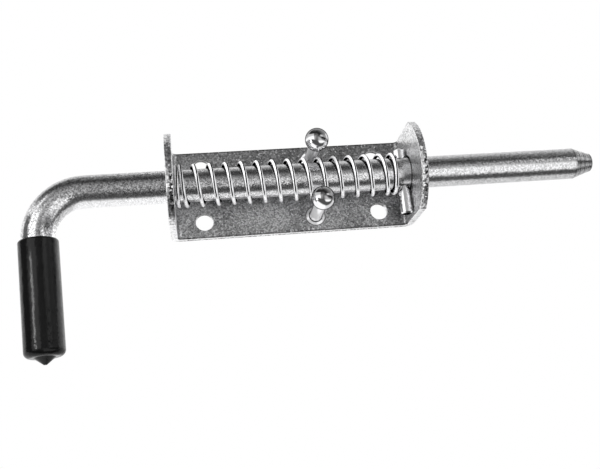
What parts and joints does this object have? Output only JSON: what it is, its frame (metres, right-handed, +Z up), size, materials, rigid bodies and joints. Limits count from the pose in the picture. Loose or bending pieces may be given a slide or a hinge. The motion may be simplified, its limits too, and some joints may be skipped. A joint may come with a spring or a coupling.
{
  "type": "spring loaded gate latch",
  "caption": "Sprung round slide bolt in a folded plate bracket with ear bearings, bent handle with moulded grip, and ball studs that hold the bolt open.",
  "frame": {"origin": "middle of the four screw holes, on the back face of the plate", "axes": "+X along the bolt towards its free end, +Y out of the back face into the gate, +Z up in the plane of the plate"},
  "size_m": [0.2893, 0.0445, 0.1046],
  "materials": {
    "zinc_sheet": "zinc plated sheet, satin, finely speckled",
    "zinc_bar": "zinc plated bar, satin with a fine grain",
    "black_vinyl": "glossy dip-moulded vinyl",
    "spring_wire": "bright drawn wire",
    "polished_steel": "polished, mirror-like"
  },
  "bodies": {
    "fixed_bracket": {"bracket": "zinc_sheet", "upper_ball_stud": "polished_steel", "lower_ball_stud": "polished_steel"},
    "spring_follower": {"compression_spring": "spring_wire"},
    "turning_bolt": {"bolt_rod": "zinc_bar", "grip_sleeve": "black_vinyl", "cross_pin": "polished_steel"}
  },
  "joints": [
    {"name": "bolt_slide", "type": "slide", "parent": "fixed_bracket", "child": "spring_follower", "axis": [-1, 0, 0], "range_m": [0, 0.0344], "stiffness_N_per_m": 1030, "springref_m": -0.03, "deforming": ["compression_spring"]},
    {"name": "bolt_turn", "type": "hinge", "parent": "spring_follower", "child": "turning_bolt", "pos_m": [0, -0.0187, 0], "axis": [-1, 0, 0], "range_deg": [-5, 185]}
  ]
}
